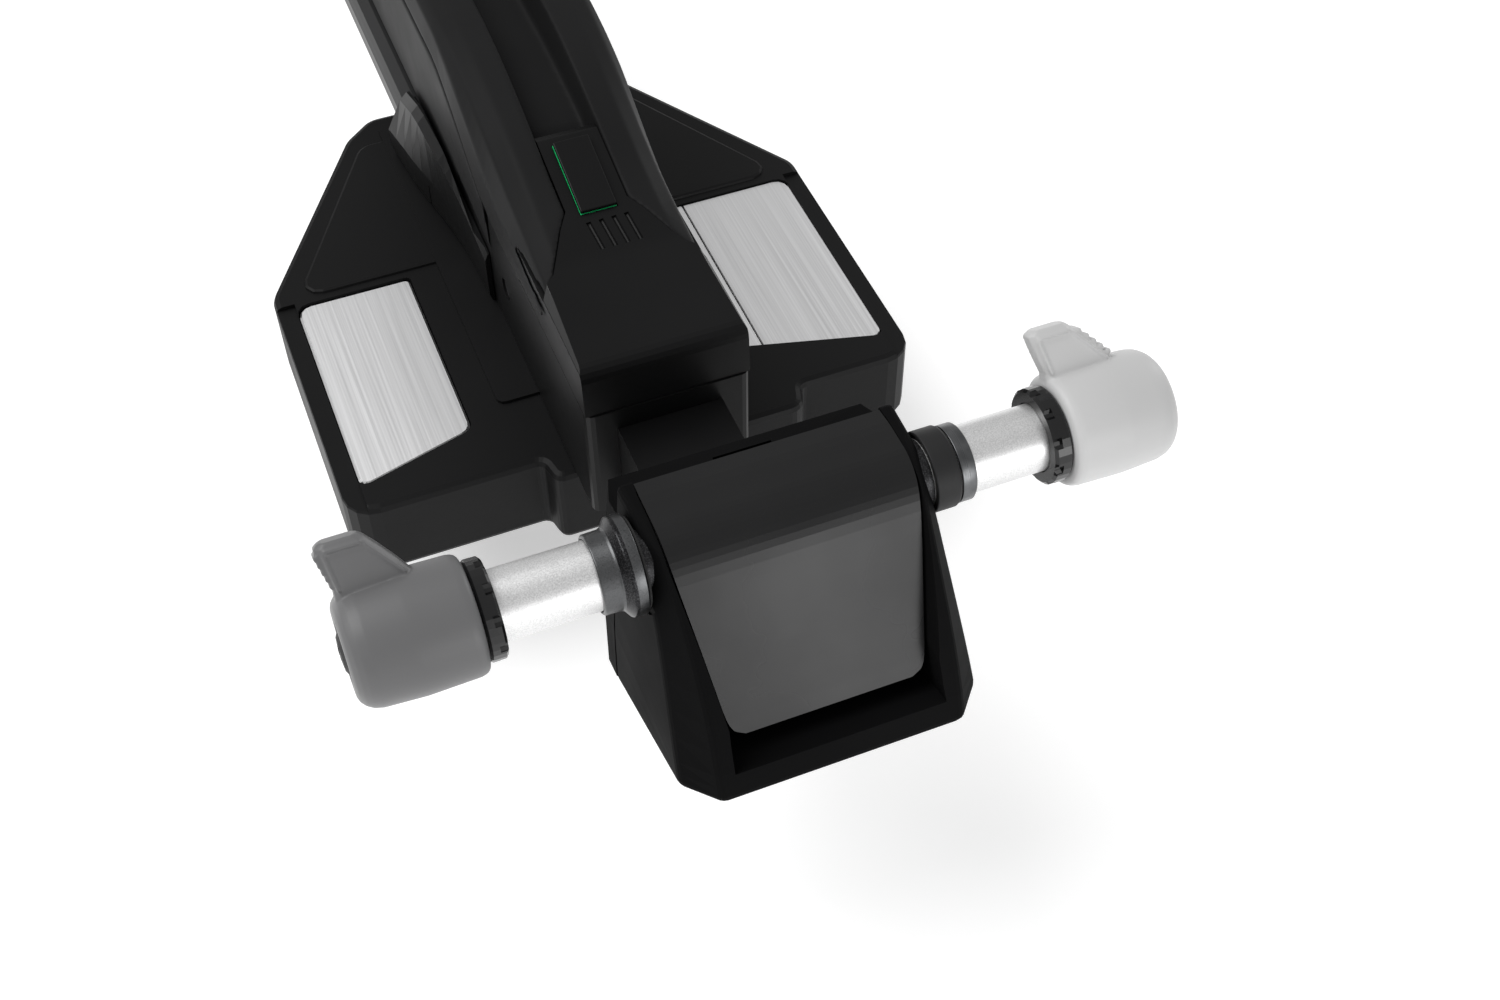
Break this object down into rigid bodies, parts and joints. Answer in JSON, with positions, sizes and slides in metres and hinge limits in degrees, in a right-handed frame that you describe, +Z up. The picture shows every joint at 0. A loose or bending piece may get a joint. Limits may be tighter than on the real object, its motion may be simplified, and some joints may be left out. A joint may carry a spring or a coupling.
{
  "type": "fork-mount roof bicycle carrier",
  "caption": "Roof carrier for a bicycle: its head clamps the fork ends on a through-axle, a tray and ratchet strap hold the rear wheel, and feet grip the front and rear roof bars.",
  "frame": {"origin": "middle of the underside of the front foot's rubber pad, where it rests on the front roof bar", "axes": "+Y rearwards along the tray, +Z up, +X to the right seen from behind the front end, along the through-axle"},
  "size_m": [0.2445, 1.2843, 0.217],
  "materials": {
    "black_plastic": "black moulded plastic, satin",
    "gloss_black": "black moulded plastic, glossy",
    "soft_black": "black plastic, matt grain",
    "black_rubber": "black rubber",
    "knob_grey": "mid grey plastic, satin",
    "pale_grey": "pale grey plastic, satin",
    "aluminium": "brushed aluminium plate with bright chamfers",
    "frosted_silver": "bead-blasted silver tube",
    "steel": "turned steel",
    "green": "green plastic",
    "tray_black": "black anodised aluminium extrusion",
    "strap_black": "flexible black plastic strap"
  },
  "bodies": {
    "carrier": {"head_housing": "black_plastic", "head_back_cover": "black_plastic", "neck": "black_plastic", "lower_housing": "black_plastic", "top_cover": "black_plastic", "left_rail_socket": "black_plastic", "right_rail_socket": "black_plastic", "rear_foot": "black_plastic", "tray_shroud": "black_plastic", "tray_fairing": "black_plastic", "base_moulding": "soft_black", "right_spacer_ring": "soft_black", "left_side_bolt": "soft_black", "right_side_bolt": "soft_black", "tray_end_cap": "soft_black", "left_seat_ring": "black_rubber", "front_bar_pad": "black_rubber", "rear_bar_pad": "black_rubber", "left_side_plate": "aluminium", "right_side_plate": "aluminium", "right_inner_strip": "aluminium", "inner_arm": "aluminium", "axle_tube": "frosted_silver", "flap_hinge_pin": "steel", "draw_rod": "steel", "left_cone_washer": "steel", "right_washer": "steel", "button_spring": "steel", "tray_bolt_1": "steel", "tray_bolt_2": "steel", "rear_draw_rod": "steel", "tray_floor": "tray_black", "left_tray_rail": "tray_black", "right_tray_rail": "tray_black"},
    "flap": {"front_flap": "gloss_black"},
    "left_collar_ring": {"left_collar": "gloss_black"},
    "left_hand_knob": {"left_knob": "knob_grey"},
    "lock_cylinder": {"lock_core": "soft_black"},
    "right_collar_ring": {"right_collar": "gloss_black"},
    "right_hand_knob": {"right_knob": "pale_grey", "right_knob_cap": "soft_black"},
    "button": {"release_button": "black_plastic", "button_skirt": "green"},
    "front_clamp": {"front_clamp_plate": "aluminium", "front_clamp_pad": "black_rubber", "front_clamp_bolt_1": "steel", "front_clamp_bolt_2": "steel", "front_clamp_bolt_3": "steel", "front_clamp_bolt_4": "steel"},
    "rear_jaw": {"rear_clamp_jaw": "black_plastic"},
    "rear_knob": {"rear_clamp_knob": "soft_black"},
    "cradle": {"wheel_cradle": "black_plastic", "wheel_strap": "strap_black", "left_strap_anchor": "soft_black", "right_strap_anchor": "soft_black", "buckle_frame": "soft_black", "buckle_pin": "steel"},
    "ratchet_lever": {"buckle_lever": "black_plastic"}
  },
  "joints": [
    {"name": "flap_hinge", "type": "hinge", "parent": "carrier", "child": "flap", "pos_m": [0, -0.2135, 0.1305], "axis": [-1, 0, 0], "range_deg": [0, 75]},
    {"name": "left_collar_slide", "type": "slide", "parent": "carrier", "child": "left_collar_ring", "axis": [1, 0, 0], "range_m": [0, 0.015]},
    {"name": "left_knob_turn", "type": "hinge", "parent": "left_collar_ring", "child": "left_hand_knob", "pos_m": [-0.0878, -0.228, 0.124], "axis": [1, 0, 0], "range_deg": [0, 1800]},
    {"name": "lock_turn", "type": "hinge", "parent": "left_hand_knob", "child": "lock_cylinder", "pos_m": [-0.1193, -0.228, 0.124], "axis": [1, 0, 0], "range_deg": [0, 90]},
    {"name": "right_collar_slide", "type": "slide", "parent": "carrier", "child": "right_collar_ring", "axis": [-1, 0, 0], "range_m": [0, 0.01125]},
    {"name": "right_knob_turn", "type": "hinge", "parent": "right_collar_ring", "child": "right_hand_knob", "pos_m": [0.0838, -0.228, 0.124], "axis": [-1, 0, 0], "range_deg": [0, 1350]},
    {"name": "button_press", "type": "slide", "parent": "carrier", "child": "button", "axis": [0, 0.2756, -0.9613], "range_m": [0, 0.003], "stiffness_N_per_m": 300, "springref_m": -0.003, "deforming": ["button_spring"]},
    {"name": "front_clamp_lift", "type": "slide", "parent": "carrier", "child": "front_clamp", "axis": [0, 0, 1], "range_m": [0, 0.01]},
    {"name": "rear_jaw_slide", "type": "slide", "parent": "carrier", "child": "rear_jaw", "axis": [0, -1, 0], "range_m": [0, 0.014]},
    {"name": "rear_knob_turn", "type": "hinge", "parent": "rear_jaw", "child": "rear_knob", "pos_m": [0, 0.776, 0.016], "axis": [0, -1, 0], "range_deg": [0, 2520]},
    {"name": "cradle_slide", "type": "slide", "parent": "carrier", "child": "cradle", "axis": [0, 1, 0], "range_m": [-0.5, 0.1]},
    {"name": "ratchet_lever_turn", "type": "hinge", "parent": "cradle", "child": "ratchet_lever", "pos_m": [0.056, 0.822, 0.094], "axis": [0, 1, 0], "range_deg": [0, 100]}
  ],
  "couplings": [
    {"joint": "left_knob_turn", "follows": "left_collar_slide", "rad_per_m": 2094.4},
    {"joint": "right_knob_turn", "follows": "right_collar_slide", "rad_per_m": 2094.4},
    {"joint": "rear_knob_turn", "follows": "rear_jaw_slide", "rad_per_m": 3141.6}
  ]
}
